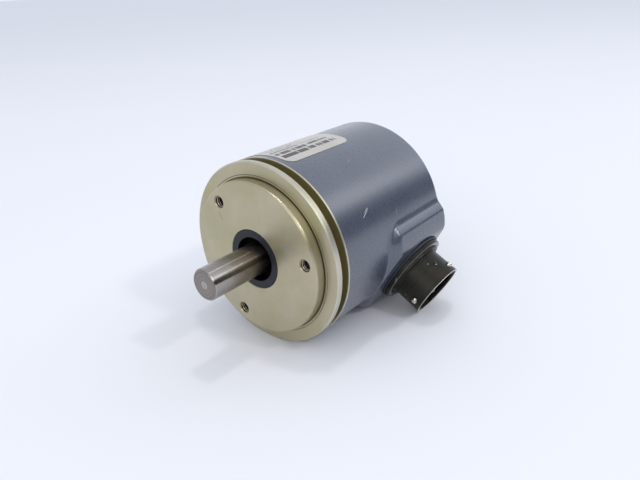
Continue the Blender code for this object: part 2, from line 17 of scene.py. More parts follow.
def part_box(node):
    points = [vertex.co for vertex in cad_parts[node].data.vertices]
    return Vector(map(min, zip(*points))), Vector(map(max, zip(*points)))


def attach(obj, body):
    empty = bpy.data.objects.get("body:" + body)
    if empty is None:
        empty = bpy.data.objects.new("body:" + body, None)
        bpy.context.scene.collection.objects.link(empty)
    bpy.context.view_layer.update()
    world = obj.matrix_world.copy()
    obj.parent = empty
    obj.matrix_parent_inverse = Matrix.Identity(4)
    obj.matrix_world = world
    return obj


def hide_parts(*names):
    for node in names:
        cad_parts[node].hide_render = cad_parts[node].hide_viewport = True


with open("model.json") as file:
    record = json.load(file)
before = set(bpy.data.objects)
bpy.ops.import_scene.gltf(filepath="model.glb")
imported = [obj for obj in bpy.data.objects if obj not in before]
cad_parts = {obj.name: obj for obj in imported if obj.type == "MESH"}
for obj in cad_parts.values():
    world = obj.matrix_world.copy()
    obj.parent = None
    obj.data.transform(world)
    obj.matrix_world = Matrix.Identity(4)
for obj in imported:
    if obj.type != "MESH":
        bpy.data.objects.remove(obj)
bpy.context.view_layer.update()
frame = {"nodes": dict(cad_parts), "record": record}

MM = 0.001
TURN = 2 * math.pi
THIN = 0.05 * MM  # clearance of a visible joint, as in the CAD model

# Places and driving sizes, read from the CAD model
FLANGE_LOW, FLANGE_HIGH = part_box("flange")
COVER_LOW, COVER_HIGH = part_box("cover")
SHAFT_LOW, SHAFT_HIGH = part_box("shaft")
SHELL_LOW, SHELL_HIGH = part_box("connector_shell")
RIM_FACE = {mount["name"]: mount for mount in frame["record"]["mounts"]}["receptacle_rim_face"]
AXIS = Vector(((FLANGE_LOW.x + FLANGE_HIGH.x) / 2, FLANGE_LOW.y, (FLANGE_LOW.z + FLANGE_HIGH.z) / 2))
RIM_R = (FLANGE_HIGH.x - FLANGE_LOW.x) / 2
OUTWARD = Vector(RIM_FACE["axis"])
TILT = math.atan2(-OUTWARD.z, OUTWARD.x)
PORT_Y = (SHELL_LOW.y + SHELL_HIGH.y) / 2 - AXIS.y
SHELL_RIM = (Vector(RIM_FACE["pos_m"]) - AXIS).dot(OUTWARD)

SHAFT = Matrix.Translation(AXIS)
PORT = (
    Matrix.Translation(AXIS + Vector((0, PORT_Y, 0)))
    @ Matrix.Rotation(TILT, 4, "Y")
    @ Matrix.Rotation(math.radians(-90), 4, "Z")
)

# Sizes of the turned pieces, in the frame each one is drawn in, and the flange's holes and cover's screws
SEAL_R = 9.7 * MM
SEAL_MOUTH_R = 7.2 * MM
SEAL_DEPTH = 4.0 * MM
SHAFT_R = 5.0 * MM
SHAFT_TIP = SHAFT_LOW.y - AXIS.y
BOSS_R = 25.0 * MM
BOSS_HEIGHT = 3.6 * MM
RIM_BACK = 5.5 * MM
GROOVE_R = 27.0 * MM
SPIGOT_R = 27.6 * MM
TAP_CIRCLE_R = 21 * MM
TAP_TURN = math.radians(9.7)
SCREW_CIRCLE_R = 24 * MM
SCREW_TURNS = (30, 150, 270)
COVER_R = 29.9 * MM
COVER_BORE_R = 27.9 * MM
COVER_FRONT = COVER_LOW.y - AXIS.y
COVER_BACK = COVER_HIGH.y - AXIS.y
COVER_EDGE = 1.0 * MM
SADDLE_TOP = 30.2 * MM
PLATE_R = 11.3 * MM
PLATE_FACE = 32.5 * MM
SHELL_R = 9.74 * MM
SHELL_BORE_R = 8.5 * MM
THREAD_R = 9.3 * MM
STUD_HEIGHT = 40.6 * MM
INSERT_BACK = 18.6 * MM
INSERT_FACE = 34.0 * MM
DISC_LINES = 256


# --- node materials -------------------------------------------------------------------------------


class Nodes:
    """Short names for the shader nodes of one material."""

    def __init__(self, name):
        self.material = bpy.data.materials.new(name)
        self.material.use_nodes = True
        self.tree = self.material.node_tree
        self.shader = self.tree.nodes["Principled BSDF"]
        self.place = self.add("ShaderNodeTexCoord").outputs["Object"]

    def add(self, kind, **settings):
        node = self.tree.nodes.new(kind)
        for key, value in settings.items():
            setattr(node, key, value)
        return node

    def put(self, value, socket):
        """Links an output to a socket, or sets the socket to a number or a colour."""
        if isinstance(value, bpy.types.NodeSocket):
            self.tree.links.new(value, socket)
        elif isinstance(value, tuple) and len(value) == 3 and socket.type == "RGBA":
            socket.default_value = (*value, 1)
        else:
            socket.default_value = value

    def set(self, **values):
        """Sets shader inputs by name, with _ for a space."""
        for key, value in values.items():
            self.put(value, self.shader.inputs[key.replace("_", " ")])

    def math(self, operation, a, b=0.0, clamp=False):
        node = self.add("ShaderNodeMath", operation=operation, use_clamp=clamp)
        self.put(a, node.inputs[0])
        self.put(b, node.inputs[1])
        return node.outputs[0]

    def times(self, a, b):
        return self.math("MULTIPLY", a, b)

    def plus(self, a, b):
        return self.math("ADD", a, b)

    def minus(self, a, b):
        return self.math("SUBTRACT", a, b)

    def absolute(self, a):
        return self.math("ABSOLUTE", a)

    def length(self, a, b):
        """Length of a flat vector."""
        return self.math("SQRT", self.plus(self.times(a, a), self.times(b, b)))

    def noise(self, scale, detail=2.0, roughness=0.5, at=None, stretch=None):
        """Noise with scale in features per millimetre."""
        node = self.add("ShaderNodeTexNoise")
        node.inputs["Scale"].default_value = scale / MM
        node.inputs["Detail"].default_value = detail
        node.inputs["Roughness"].default_value = roughness
        place = at or self.place
        if stretch:
            mapping = self.add("ShaderNodeMapping")
            mapping.inputs["Scale"].default_value = stretch
            self.put(place, mapping.inputs["Vector"])
            place = mapping.outputs[0]
        self.put(place, node.inputs["Vector"])
        return node.outputs[0]

    def range(self, value, low, high, to_low=0.0, to_high=1.0):
        """Goes smoothly from to_low at low to to_high at high; low may be the larger of the two."""
        node = self.add("ShaderNodeMapRange", interpolation_type="SMOOTHSTEP")
        for socket, number in zip(node.inputs, (value, low, high, to_low, to_high)):
            self.put(number, socket)
        return node.outputs[0]

    def mix(self, factor, a, b):
        node = self.add("ShaderNodeMix", data_type="RGBA")
        self.put(factor, node.inputs[0])
        self.put(a, node.inputs[6])
        self.put(b, node.inputs[7])
        return node.outputs[2]

    def axes(self):
        """The x, y and z of the place, in metres."""
        node = self.add("ShaderNodeSeparateXYZ")
        self.put(self.place, node.inputs[0])
        return node.outputs

    def radius(self):
        """Distance from the local y axis, in metres."""
        x, _, z = self.axes()
        return self.length(x, z)

    def turn(self):
        """Angle about the local y axis from +x towards +z, in radians."""
        x, _, z = self.axes()
        return self.math("ARCTAN2", z, x)

    def bump(self, height, depth, strength, after=None):
        """Adds a bump of that depth in metres, on top of an earlier one."""
        node = self.add("ShaderNodeBump")
        node.inputs["Strength"].default_value = strength
        node.inputs["Distance"].default_value = depth
        self.put(height, node.inputs["Height"])
        if after:
            self.put(after, node.inputs["Normal"])
        return node.outputs[0]

    def any(self, *masks):
        """The strongest of several masks."""
        found = masks[0]
        for mask in masks[1:]:
            found = self.math("MAXIMUM", found, mask)
        return found


def scratch(nodes, across, along, centre, half_length, half_width, slant=0.0):
    """A mask that is 1 on a straight scratch, drawn in two flat coordinates in metres."""
    a = nodes.minus(across, centre[0])
    b = nodes.minus(along, centre[1])
    cosine, sine = math.cos(slant), math.sin(slant)
    far = nodes.absolute(nodes.plus(nodes.times(a, sine), nodes.times(b, cosine)))
    off = nodes.absolute(nodes.minus(nodes.times(a, cosine), nodes.times(b, sine)))
    return nodes.times(
        nodes.range(far, half_length * 0.7, half_length, 1, 0),
        nodes.range(off, half_width * 0.5, half_width, 1, 0),
    )


def flange_shade_and_highlight(n, radius, depth):
    """Masks of painted shade in the undercut at the foot of the boss and in the scribed ring beside it,
    and of a painted highlight on the rim's outer face.
    """
    root_off = n.absolute(n.minus(radius, BOSS_R + 0.15 * MM))
    root = n.times(n.range(root_off, 0.3 * MM, 0.1 * MM), n.range(depth, 3.3 * MM, BOSS_HEIGHT))
    scribe_off = n.absolute(n.minus(radius, BOSS_R + 0.98 * MM))
    scribe = n.times(n.range(scribe_off, 0.10 * MM, 0.05 * MM), n.range(depth, 3.61 * MM, 3.64 * MM))
    # The rim's outer face, where a highlight is painted
    edge = n.range(n.absolute(n.minus(radius, RIM_R)), 0.5 * MM, 0.3 * MM)
    return n.any(root, scribe), edge


def tapped_holes(n, x, z):
    """A mask of the three tapped holes, and the distance from the nearest one's axis."""
    holes = past = None
    for i in range(3):
        angle = TAP_TURN + TURN * i / 3
        off = n.length(
            n.minus(x, TAP_CIRCLE_R * math.cos(angle)),
            n.minus(z, TAP_CIRCLE_R * math.sin(angle)),
        )
        near = n.range(off, 2.3 * MM, 2.1 * MM)
        holes = near if holes is None else n.any(holes, near)
        past = off if past is None else n.math("MINIMUM", past, off)
    return holes, past


def chromated_aluminium():
    """Turned aluminium under a thin yellow-green chromate, with rings, stains and a few handling marks,
    painted shade in the groove, the undercut and the tapped holes, and a painted highlight on the rim.
    """
    n = Nodes("chromated_aluminium")
    radius = n.radius()
    x, depth, z = n.axes()
    cloud = n.noise(0.06, 3, 0.6)
    stain = n.noise(0.16, 4, 0.6)
    tone = n.mix(n.range(cloud, 0.35, 0.65), (0.435, 0.395, 0.255), (0.49, 0.44, 0.315))
    tone = n.mix(n.range(stain, 0.5, 0.75, 0, 0.5), tone, (0.40, 0.39, 0.21))
    # Painted shade: the clamp groove is painted a darker olive
    groove = n.times(n.range(depth, RIM_BACK, 5.6 * MM), n.range(radius, 29.9 * MM, 29.5 * MM))
    tone = n.mix(groove, tone, (0.33, 0.29, 0.15))
    lines, edge = flange_shade_and_highlight(n, radius, depth)
    # Painted shade: the undercut and the scribed ring are painted dark
    tone = n.mix(n.times(lines, 0.85), tone, (0.07, 0.065, 0.03))
    # Painted highlight: the rim's outer face is painted a pale whitish tone
    band = n.times(edge, n.range(cloud, 0.3, 0.6, 0.5, 0.9))
    tone = n.mix(band, tone, (0.60, 0.57, 0.47))
    holes, past = tapped_holes(n, x, z)
    # Painted shade in the tapped holes: a brown countersink, dark thread roots and near black deeper in,
    # with painted highlights on the thread crests
    sink = n.times(holes, n.range(depth, 0.02 * MM, 0.2 * MM))
    tone = n.mix(n.times(sink, 0.7), tone, (0.26, 0.18, 0.11))
    thread_shade_and_highlight = n.mix(n.range(past, 1.68 * MM, 1.86 * MM), (0.60, 0.52, 0.42), (0.012, 0.010, 0.008))
    tone = n.mix(n.times(holes, n.range(depth, 0.35 * MM, 0.6 * MM)), tone, thread_shade_and_highlight)
    inside = n.times(holes, n.range(depth, 0.8 * MM, 2.4 * MM))
    tone = n.mix(inside, tone, (0.012, 0.010, 0.008))
    mark = scratch(n, x, z, (-13.3 * MM, 11.6 * MM), 1.6 * MM, 0.13 * MM, math.radians(-28))
    dots = n.range(n.noise(0.9, 1, 0.4), 0.78, 0.81)
    tone = n.mix(n.any(mark, n.times(dots, 0.5)), tone, (0.20, 0.18, 0.13))
    rings = n.noise(2.2, 2, 0.6, at=ring_place(n, radius, depth))
    n.set(Base_Color=tone, Metallic=0.82)
    n.set(Roughness=n.range(rings, 0.3, 0.7, 0.30, 0.42))
    fine = n.bump(rings, 0.004 * MM, 0.5)
    n.set(Normal=n.bump(stain, 0.02 * MM, 0.15, fine))
    return n.material


def ring_place(n, radius, depth):
    """A place that changes only along the tool's path, so that noise there reads as turning rings."""
    node = n.add("ShaderNodeCombineXYZ")
    n.put(n.times(radius, 3.0), node.inputs[0])
    n.put(n.times(depth, 3.0), node.inputs[1])
    return node.outputs[0]


def grey_paint():
    """Semi-gloss blue-grey enamel with orange peel, dust specks, pale scratches and one dark chip."""
    n = Nodes("grey_paint")
    _, depth, _ = n.axes()
    across = n.times(n.turn(), COVER_R)
    peel = n.noise(0.85, 2, 0.55)
    grain = n.noise(3.2, 2, 0.6)
    cloud = n.noise(0.06, 3, 0.6)
    tone = n.mix(n.range(cloud, 0.3, 0.7), (0.051, 0.061, 0.093), (0.061, 0.073, 0.110))
    tone = n.mix(n.range(grain, 0.55, 0.75, 0, 0.30), tone, (0.055, 0.060, 0.082))
    speck = n.range(n.noise(0.55, 0, 0.5), 0.835, 0.85)
    tone = n.mix(n.times(speck, 0.7), tone, (0.05, 0.05, 0.06))
    # Angle round the cover, depth, half length and half width in mm, slant
    places = (
        (math.radians(27.0), 22.0, 2.2, 0.13, math.radians(30)),
        (math.radians(28.5), 22.6, 1.3, 0.08, math.radians(26)),
        (math.radians(19.0), 36.5, 1.1, 0.05, math.radians(58)),
        (math.radians(60.0), 30.0, 1.6, 0.05, math.radians(20)),
    )
    marks = [
        scratch(n, across, depth, (angle * COVER_R, at * MM), half * MM, wide * MM, slant)
        for angle, at, half, wide, slant in places
    ]
    worn = n.any(*marks)
    chip = scratch(n, across, depth, (math.radians(41) * COVER_R, 27 * MM), 0.34 * MM, 0.3 * MM)
    tone = n.mix(n.times(chip, 0.8), tone, (0.012, 0.011, 0.014))
    tone = n.mix(worn, tone, (0.62, 0.62, 0.66))
    n.set(Base_Color=tone, Roughness=n.range(grain, 0.3, 0.7, 0.24, 0.36))
    n.set(Specular_IOR_Level=1.0, Coat_Weight=0.5, Coat_Roughness=0.22)
    rough = n.bump(peel, 0.05 * MM, 0.35)
    n.set(Normal=n.bump(grain, 0.01 * MM, 0.4, rough))
    return n.material


def ground_steel():
    """Ground stainless shaft: fine rings, a turned end face with a pale centre, and a brown stain by the
    seal that also serves as painted shade there.

    Light is stretched along the shaft, as grinding rings do, except on the end face.
    """
    n = Nodes("ground_steel")
    radius = n.radius()
    _, depth, _ = n.axes()
    end = n.range(depth, SHAFT_TIP + 0.30 * MM, SHAFT_TIP + 0.10 * MM)
    rings = n.noise(1.6, 2, 0.5, at=ring_place(n, radius, depth))
    turns = n.noise(0.55, 2, 0.6, at=ring_place(n, radius, 0.0))
    tone = n.mix(n.range(rings, 0.35, 0.65), (0.36, 0.335, 0.315), (0.43, 0.405, 0.385))
    faced = n.mix(n.range(turns, 0.35, 0.65), (0.20, 0.172, 0.155), (0.31, 0.275, 0.25))
    centre = n.range(radius, 1.5 * MM, 1.1 * MM)
    faced = n.mix(n.times(centre, 0.7), faced, (0.46, 0.42, 0.39))
    tone = n.mix(end, tone, faced)
    # Darker and browner towards the seal: partly a brown stain, partly painted shade where the shaft
    # reflects the dark seal
    patch = n.range(n.noise(0.25, 3, 0.6), 0.25, 0.75, -1.5 * MM, 1.5 * MM)
    stain = n.range(n.plus(depth, patch), -16 * MM, -3 * MM, 0, 0.8)
    tone = n.mix(stain, tone, (0.15, 0.12, 0.095))
    rub = n.range(n.noise(0.5, 3, 0.6, stretch=(1, 0.25, 1)), 0.52, 0.7)
    n.set(Base_Color=tone, Metallic=1.0)
    n.set(Roughness=n.plus(n.range(rub, 0, 1, 0.21, 0.25), n.times(end, 0.14)))
    around = n.add("ShaderNodeTangent", direction_type="RADIAL", axis="Y")
    n.set(Anisotropic=n.math("SUBTRACT", 0.95, end, clamp=True), Anisotropic_Rotation=0.25)
    n.set(Tangent=around.outputs[0])
    fine = n.bump(rings, 0.002 * MM, 0.4)
    n.set(Normal=n.bump(n.times(turns, end), 0.05 * MM, 0.5, fine))
    return n.material


def rubber(name, tone):
    """Dull rubber or dark moulding with a faint cloud."""
    n = Nodes(name)
    cloud = n.noise(0.7, 3, 0.6)
    pale = tuple(0.018 + 1.5 * c for c in tone)
    n.set(Base_Color=n.mix(n.range(cloud, 0.5, 0.8, 0, 0.6), tone, pale))
    n.set(Roughness=n.range(cloud, 0.3, 0.7, 0.42, 0.58), Specular_IOR_Level=0.4)
    n.set(Normal=n.bump(n.noise(4.0, 2, 0.6), 0.01 * MM, 0.4))
    return n.material


def seal_rubber():
    """The seal's satin slate face, with the recess round the shaft painted matt black as painted shade."""
    n = Nodes("seal_rubber")
    radius = n.radius()
    cloud = n.noise(0.7, 3, 0.6)
    face = n.range(radius, SEAL_MOUTH_R - 0.05 * MM, SEAL_MOUTH_R + 0.15 * MM)
    tone = n.mix(n.range(cloud, 0.4, 0.7), (0.010, 0.0115, 0.016), (0.016, 0.0175, 0.024))
    # Painted shade: the recess inside the mouth is painted near black
    n.set(Base_Color=n.mix(face, (0.003, 0.003, 0.003), tone))
    n.set(Roughness=n.range(face, 0, 1, 0.9, 0.5), Specular_IOR_Level=n.range(face, 0, 1, 0.05, 0.35))
    n.set(Normal=n.bump(n.noise(4.0, 2, 0.6), 0.01 * MM, 0.4))
    return n.material


def olive_plating():
    """Dark olive plated shell: bright worn rim and chips, a plate face painted lighter grey as a painted
    reflection, and painted shade that makes the inside near black.
    """
    n = Nodes("olive_plating")
    radius = n.radius()
    _, height, _ = n.axes()
    cloud = n.noise(0.22, 4, 0.65)
    tone = n.mix(n.range(cloud, 0.35, 0.7), (0.011, 0.012, 0.007), (0.022, 0.018, 0.012))
    lines = n.noise(1.4, 2, 0.5, at=ring_place(n, radius, height))
    tone = n.mix(n.range(lines, 0.5, 0.75, 0, 0.4), tone, (0.050, 0.048, 0.036))
    outside = n.range(radius, 8.7 * MM, 9.0 * MM)
    rim = n.range(height, SHELL_RIM - 0.30 * MM, SHELL_RIM - 0.06 * MM)
    ragged = n.range(n.plus(rim, n.times(cloud, 0.5)), 0.95, 1.15)
    chips = n.range(n.noise(0.6, 3, 0.65), 0.68, 0.72)
    plate = n.times(
        n.range(radius, PLATE_R - 0.1 * MM, PLATE_R + 0.2 * MM),
        n.range(height, PLATE_FACE - 0.2 * MM, PLATE_FACE - 0.05 * MM),
    )
    bare = n.any(n.times(ragged, outside), n.times(chips, outside))
    tone = n.mix(bare, tone, (0.60, 0.56, 0.50))
    # Painted reflection: the plate's front face is painted a lighter grey
    tone = n.mix(n.times(plate, 0.7), tone, (0.22, 0.22, 0.23))
    # Painted shade: everything inside the barrel is painted near black
    tone = n.mix(outside, (0.006, 0.006, 0.005), tone)
    n.set(Base_Color=tone, Metallic=n.range(bare, 0, 1, 0.45, 1.0))
    dull = n.range(cloud, 0.3, 0.7, 0.32, 0.48)
    n.set(Roughness=n.minus(dull, n.times(plate, 0.15)))
    n.set(Specular_IOR_Level=n.range(outside, 0, 1, 0.1, 0.35))
    fine = n.bump(lines, 0.005 * MM, 0.5)
    n.set(Normal=n.bump(cloud, 0.04 * MM, 0.3, fine))
    return n.material


def metal(name, tone, other, rough, depth=0.004):
    """Plain plated or turned metal with a faint cloud and fine grain of that depth in mm."""
    n = Nodes(name)
    cloud = n.noise(0.5, 3, 0.6)
    n.set(Base_Color=n.mix(n.range(cloud, 0.3, 0.7), tone, other), Metallic=1.0)
    n.set(Roughness=n.range(cloud, 0.25, 0.75, rough - 0.06, rough + 0.08))
    n.set(Normal=n.bump(n.noise(3.0, 2, 0.6), depth * MM, 0.4))
    return n.material


def plastic(name, tone, other, rough, scale=0.5):
    """Moulded plastic with a fine spark-eroded grain."""
    n = Nodes(name)
    cloud = n.noise(scale, 3, 0.6)
    n.set(Base_Color=n.mix(n.range(cloud, 0.3, 0.7), tone, other))
    n.set(Roughness=n.range(cloud, 0.25, 0.75, rough - 0.05, rough + 0.08))
    n.set(Normal=n.bump(n.noise(5.0, 2, 0.6), 0.01 * MM, 0.4))
    return n.material


def label_film():
    """Cream label film with rows of plain dashes where a real one is printed.

    UV is in metres: u goes rearwards along the shaft, v up and round the cover. Each row is its middle,
    height, start and end in mm, the dashes' pitch, and the noise level at which a dash starts.
    """
    n = Nodes("label_film")
    split = n.add("ShaderNodeSeparateXYZ")
    n.put(n.add("ShaderNodeUVMap", uv_map="label").outputs[0], split.inputs[0])
    along, up = split.outputs[0], split.outputs[1]
    ink = None
    rows = (
        (4.2, 2.2, 1.2, 12.6, 2.6, 0.40),
        (4.3, 2.1, 13.2, 26.6, 2.6, 0.42),
        (7.0, 1.9, 0.9, 2.6, 2.2, 0.38),
        (7.0, 2.0, 3.2, 15.0, 2.8, 0.38),
        (7.3, 1.6, 16.0, 25.4, 2.6, 0.43),
        (9.5, 1.1, 1.2, 13.6, 3.6, 0.45),
        (9.9, 0.7, 15.0, 24.6, 4.0, 0.48),
        (11.6, 0.8, 2.0, 17.0, 4.0, 0.47),
        (13.4, 0.7, 3.0, 15.0, 4.2, 0.48),
        (15.4, 0.8, 2.0, 20.0, 4.0, 0.48),
        (17.4, 0.8, 2.0, 12.0, 4.0, 0.48),
    )
    for at, tall, start, end, pitch, gap in rows:
        band = n.times(
            n.range(up, (at - tall / 2) * MM, (at - tall / 2 + 0.12) * MM),
            n.range(up, (at + tall / 2) * MM, (at + tall / 2 - 0.12) * MM),
        )
        reach = n.times(
            n.range(along, start * MM, (start + 0.1) * MM),
            n.range(along, end * MM, (end - 0.1) * MM),
        )
        spot = n.add("ShaderNodeCombineXYZ")
        n.put(along, spot.inputs[0])
        n.put(at * 3.7 * MM, spot.inputs[1])
        dashes = n.range(n.noise(pitch * 0.45, 1, 0.6, at=spot.outputs[0]), gap - 0.03, gap + 0.03)
        row = n.times(n.times(band, reach), dashes)
        ink = row if ink is None else n.any(ink, row)
    cloud = n.noise(0.12, 3, 0.6)
    film = n.mix(n.range(cloud, 0.3, 0.7), (0.47, 0.445, 0.395), (0.53, 0.505, 0.46))
    n.set(Base_Color=n.mix(n.times(ink, 0.95), film, (0.035, 0.033, 0.036)))
    n.set(Roughness=n.range(cloud, 0.3, 0.7, 0.30, 0.40), Specular_IOR_Level=0.4)
    n.set(Normal=n.bump(n.noise(0.9, 2, 0.5), 0.01 * MM, 0.3))
    return n.material


def disc_glass():
    """Clear glass with a chrome track of fine radial lines and an index window."""
    n = Nodes("disc_glass")
    # A CAD node's own coordinates start at the frame's origin, not on the shaft's axis
    x, _, z = n.axes()
    x = n.minus(x, AXIS.x)
    z = n.minus(z, AXIS.z)
    radius = n.length(x, z)
    turn = n.math("ARCTAN2", z, x)
    line = n.range(n.math("SINE", n.times(turn, DISC_LINES)), -0.05, 0.05)
    track = n.times(n.range(radius, 15.4 * MM, 15.5 * MM), n.range(radius, 18.8 * MM, 18.7 * MM))
    chrome = n.times(line, track)
    n.set(Base_Color=n.mix(chrome, (0.80, 0.88, 0.90), (0.30, 0.28, 0.26)))
    n.set(Metallic=chrome, Roughness=0.06, IOR=1.5)
    n.set(Alpha=n.range(chrome, 0, 1, 0.35, 1.0))
    return n.material


# --- meshes ---------------------------------------------------------------------------------------


def arc(centre, radius, start, end, steps):
    """Points on an arc, both ends included; angles in degrees."""
    angles = [math.radians(start + (end - start) * i / steps) for i in range(steps + 1)]
    return [(centre[0] + radius * math.cos(a), centre[1] + radius * math.sin(a)) for a in angles]


def rounded(outline, steps=3):
    """Rounds the corners of a closed outline of (radius, y, corner) points; corner 0 stays sharp."""
    found = []
    count = len(outline)
    for i, (r, y, corner) in enumerate(outline):
        here = Vector((r, y))
        before = Vector(outline[i - 1][:2]) - here
        after = Vector(outline[(i + 1) % count][:2]) - here
        if corner <= 0 or before.length == 0 or after.length == 0:
            found.append((r, y))
            continue
        half = before.angle(after) / 2
        reach = min(corner / math.tan(half), before.length * 0.48, after.length * 0.48)
        a = here + before.normalized() * reach
        b = here + after.normalized() * reach
        for step in range(steps + 1):
            t = step / steps
            point = a * (1 - t) ** 2 + here * (2 * t * (1 - t)) + b * t**2
            found.append((point.x, point.y))
    return found


def mesh_object(name, bm, finish, place):
    """Makes an object of a bmesh, with its faces turned outwards and edges sharp from 30 degrees."""
    bmesh.ops.recalc_face_normals(bm, faces=bm.faces)
    mesh = bpy.data.meshes.new(name)
    bm.to_mesh(mesh)
    bm.free()
    made = bpy.data.objects.new(name, mesh)
    bpy.context.scene.collection.objects.link(made)
    made.matrix_world = place
    mesh.materials.append(finish)
    mesh.shade_smooth()
    mesh.set_sharp_from_angle(angle=math.radians(30))
    return made


def turned(name, outline, steps, finish, place):
    """A solid turned about the local y axis from a closed outline of (radius, y) points."""
    bm = bmesh.new()
    points = [bm.verts.new((radius, y, 0)) for radius, y in outline]
    edges = []
    for a, b in zip(points, points[1:] + points[:1]):
        if a.co.x > 0 or b.co.x > 0:
            edges.append(bm.edges.new((a, b)))
    bmesh.ops.spin(bm, geom=points + edges, axis=(0, 1, 0), angle=TURN, steps=steps, use_merge=True)
    bmesh.ops.remove_doubles(bm, verts=bm.verts, dist=1e-8)
    return mesh_object(name, bm, finish, place)


def prism(name, outline, front, back, finish, place):
    """A solid with a closed (x, z) outline, from y = front to y = back."""
    bm = bmesh.new()
    face = bm.faces.new([bm.verts.new((x, front, z)) for x, z in outline])
    grown = bmesh.ops.extrude_face_region(bm, geom=[face])
    top = [v for v in grown["geom"] if isinstance(v, bmesh.types.BMVert)]
    bmesh.ops.translate(bm, verts=top, vec=(0, back - front, 0))
    return mesh_object(name, bm, finish, place)


def circle(radius, steps):
    """Points of a closed circle in the x-z plane."""
    return arc((0, 0), radius, 0, 360 * (steps - 1) / steps, steps - 1)


def carve(target, cutters, smooth):
    """Cuts helpers from a piece for good, throws them away and marks edges sharp from that angle."""
    for cutter in cutters:
        step = target.modifiers.new(cutter.name, "BOOLEAN")
        step.operation = "DIFFERENCE"
        step.object = cutter
    graph = bpy.context.evaluated_depsgraph_get()
    result = bpy.data.meshes.new_from_object(target.evaluated_get(graph))
    target.modifiers.clear()
    target.data = result
    for cutter in cutters:
        bpy.data.objects.remove(cutter)
    target.data.set_sharp_from_angle(angle=math.radians(smooth))


def flatten_shading(piece):
    """Lets large flat faces keep a flat look beside their rounded edges."""
    step = piece.modifiers.new("weighted_normals", "WEIGHTED_NORMAL")
    step.keep_sharp = True
    step.weight = 100
    return piece


def show(piece, body, node):
    """Makes a piece move with a body and stand for its CAD node."""
    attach(piece, body)
    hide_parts(node)


def polar(radius, angle, y=0.0):
    """A point at an angle about the local y axis, from +x towards +z."""
    return Vector((radius * math.cos(angle), y, radius * math.sin(angle)))


def on_shaft(radius, angle, y=0.0):
    """A place beside the shaft's axis, turned as SHAFT is."""
    return SHAFT @ Matrix.Translation(polar(radius, angle, y))


# --- the pieces -----------------------------------------------------------------------------------


def threaded_cutter(name, place, finish):
    """The space of an M4 hole: a helical thread under a countersink, open to the front."""
    core, crest, sink = 1.60 * MM, 2.02 * MM, 2.12 * MM
    pitch, depth = 0.7 * MM, 7.6 * MM
    around, per_turn = 40, 8
    rows = int(depth / pitch * per_turn)
    bm = bmesh.new()
    rings = []
    for row in range(-3, rows + 1):
        y = row * pitch / per_turn
        ring = []
        for i in range(around):
            phase = (y / pitch + i / around) % 1.0
            height = min(1.0, 1.3 * (1 - abs(2 * phase - 1)))
            radius = max(core + (crest - core) * height, sink - max(y, 0.0))
            ring.append(bm.verts.new(polar(radius, TURN * i / around, y)))
        rings.append(ring)
    for a, b in zip(rings, rings[1:]):
        for i in range(around):
            j = (i + 1) % around
            bm.faces.new((a[i], a[j], b[j], b[i]))
    tip = bm.verts.new((0, rows * pitch / per_turn + core * 0.6, 0))
    for i in range(around):
        bm.faces.new((rings[-1][i], rings[-1][(i + 1) % around], tip))
    bm.faces.new(rings[0])
    return mesh_object(name, bm, finish, place)


def make_flange(finish):
    """One turned piece: boss, undercut, rim, servo-clamp groove, lip, spigot and bearing tower."""
    edge, fine = 0.45 * MM, 0.12 * MM
    bore = 11.0 * MM
    rim = BOSS_HEIGHT
    lip_front = COVER_FRONT - 0.65 * MM
    lip_back = COVER_FRONT - THIN
    tower_back = FLANGE_HIGH.y - AXIS.y
    outline = [
        (SEAL_R + THIN, 0.15 * MM, 0),
        (SEAL_R + THIN + 0.12 * MM, 0, 0),
        (BOSS_R - edge, 0, 0),
        (BOSS_R - 0.12 * MM, edge * 0.8, 0.1 * MM),
        (BOSS_R, edge * 1.6, 0.05 * MM),
        (BOSS_R, rim - 0.1 * MM, 0),
        (BOSS_R - 0.05 * MM, rim + 0.4 * MM, 0),
        (BOSS_R + 0.30 * MM, rim + 0.4 * MM, 0),
        (BOSS_R + 0.38 * MM, rim, 0),
        (BOSS_R + 0.90 * MM, rim, 0),
        (BOSS_R + 0.98 * MM, rim + 0.14 * MM, 0),
        (BOSS_R + 1.06 * MM, rim, 0),
        (RIM_R - 0.38 * MM, rim, 0),
        (RIM_R, rim + 0.38 * MM, 0),
        (RIM_R, RIM_BACK - fine, 0),
        (RIM_R - fine, RIM_BACK, 0),
        (GROOVE_R, RIM_BACK, fine),
        (GROOVE_R, lip_front, fine),
        (RIM_R - fine, lip_front, 0),
        (RIM_R, lip_front + fine, 0),
        (RIM_R, lip_back - fine, 0),
        (RIM_R - fine, lip_back, 0),
        (SPIGOT_R, lip_back, 0),
        (SPIGOT_R, 12.0 * MM, fine),
        (25.9 * MM, 12.0 * MM, 0),
        (25.9 * MM, 14.4 * MM, 0),
        (SPIGOT_R, 14.4 * MM, fine),
        (SPIGOT_R, 17.0 * MM, edge),
        (15.0 * MM, 17.0 * MM, fine),
        (15.0 * MM, tower_back, edge),
        (bore, tower_back, fine),
        (bore, 29.2 * MM, 0),
        (bore + 0.8 * MM, 29.2 * MM, 0),
        (bore + 0.8 * MM, 28.0 * MM, 0),
        (bore, 28.0 * MM, 0),
        (bore, 4.8 * MM, fine),
        (8.6 * MM, 4.8 * MM, 0),
        (8.6 * MM, SEAL_DEPTH + 0.1 * MM, 0),
        (SEAL_R + THIN, SEAL_DEPTH + 0.1 * MM, 0),
    ]
    flange = turned("flange_body", rounded(outline), 192, finish, SHAFT)
    cutters = []
    for i in range(3):
        spot = on_shaft(TAP_CIRCLE_R, TAP_TURN + TURN * i / 3)
        cutters.append(threaded_cutter(f"tap_{i}", spot, finish))
    for i, angle in enumerate(SCREW_TURNS):
        spot = on_shaft(SCREW_CIRCLE_R, math.radians(angle))
        cutters.append(prism(f"stud_{i}", circle(1.55 * MM, 20), 12.2 * MM, 18 * MM, finish, spot))
    carve(flange, cutters, 25)
    show(flatten_shading(flange), "housing", "flange")


